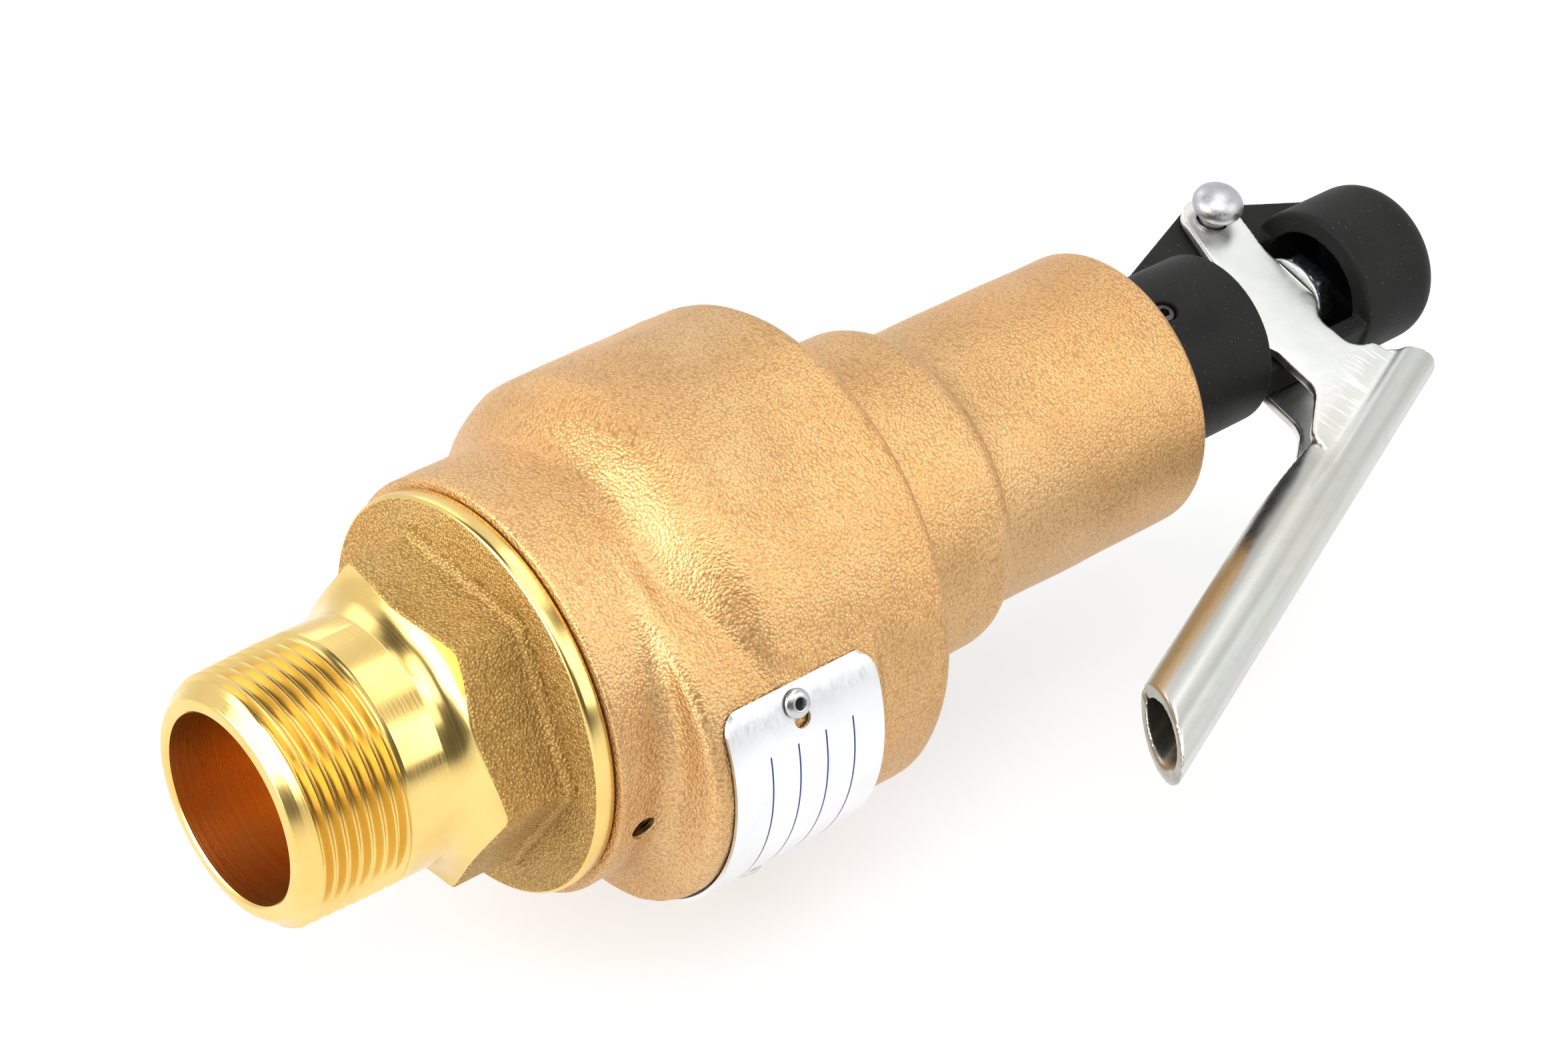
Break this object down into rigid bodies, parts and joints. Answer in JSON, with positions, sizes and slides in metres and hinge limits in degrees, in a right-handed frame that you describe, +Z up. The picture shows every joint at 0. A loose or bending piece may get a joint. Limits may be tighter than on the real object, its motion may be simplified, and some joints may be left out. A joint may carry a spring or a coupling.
{
  "type": "pressure relief valve",
  "caption": "Spring-loaded pressure relief valve: threaded brass inlet nozzle, cast bronze body with a side outlet, and a hand lever under a black cap that lifts the disc.",
  "frame": {"origin": "centre of the inlet's end face", "axes": "+Z up the valve's axis from the inlet to the cap; +X towards the lever's handle; the lever's pin lies along Y"},
  "size_m": [0.1247, 0.1049, 0.2548],
  "materials": {
    "brass": "machined and polished brass",
    "bronze": "sand-cast bronze, coarse and unpolished",
    "black": "matte black coating",
    "zinc": "zinc-plated pressed sheet steel",
    "steel": "bare machined steel",
    "spring_steel": "dark drawn spring wire",
    "nameplate": "bright sheet with plain printed rules, no lettering"
  },
  "bodies": {
    "body": {"nozzle": "brass", "valve_body": "bronze", "regulator_ring": "brass", "ring_lock_screw": "steel", "nameplate": "nameplate", "nameplate_rivet_1": "steel", "nameplate_rivet_2": "steel", "disc_guide": "brass", "spring": "spring_steel", "upper_spring_step": "steel", "compression_screw": "steel", "compression_screw_locknut": "steel", "lever_cap": "black", "cap_set_screw": "steel", "lever_pin": "steel", "lever_pin_clip": "steel"},
    "spindle": {"disc": "steel", "disc_retaining_ring": "steel", "spindle": "steel", "lower_spring_step": "steel", "lift_washer": "steel", "lift_nut": "steel"},
    "lever": {"lever": "zinc"}
  },
  "joints": [
    {"name": "lever_pivot", "type": "hinge", "parent": "body", "child": "lever", "pos_m": [-0.0185, 0, 0.22567], "axis": [0, -1, 0], "range_deg": [0, 12], "stiffness_Nm_per_rad": 1.5, "springref_deg": -28.07},
    {"name": "spindle_lift", "type": "slide", "parent": "body", "child": "spindle", "axis": [0, 0, 1], "range_m": [0, 0.0052], "deforming": ["spring"]}
  ],
  "couplings": [
    {"joint": "spindle_lift", "follows": "lever_pivot", "m_per_rad": 0.0245}
  ]
}
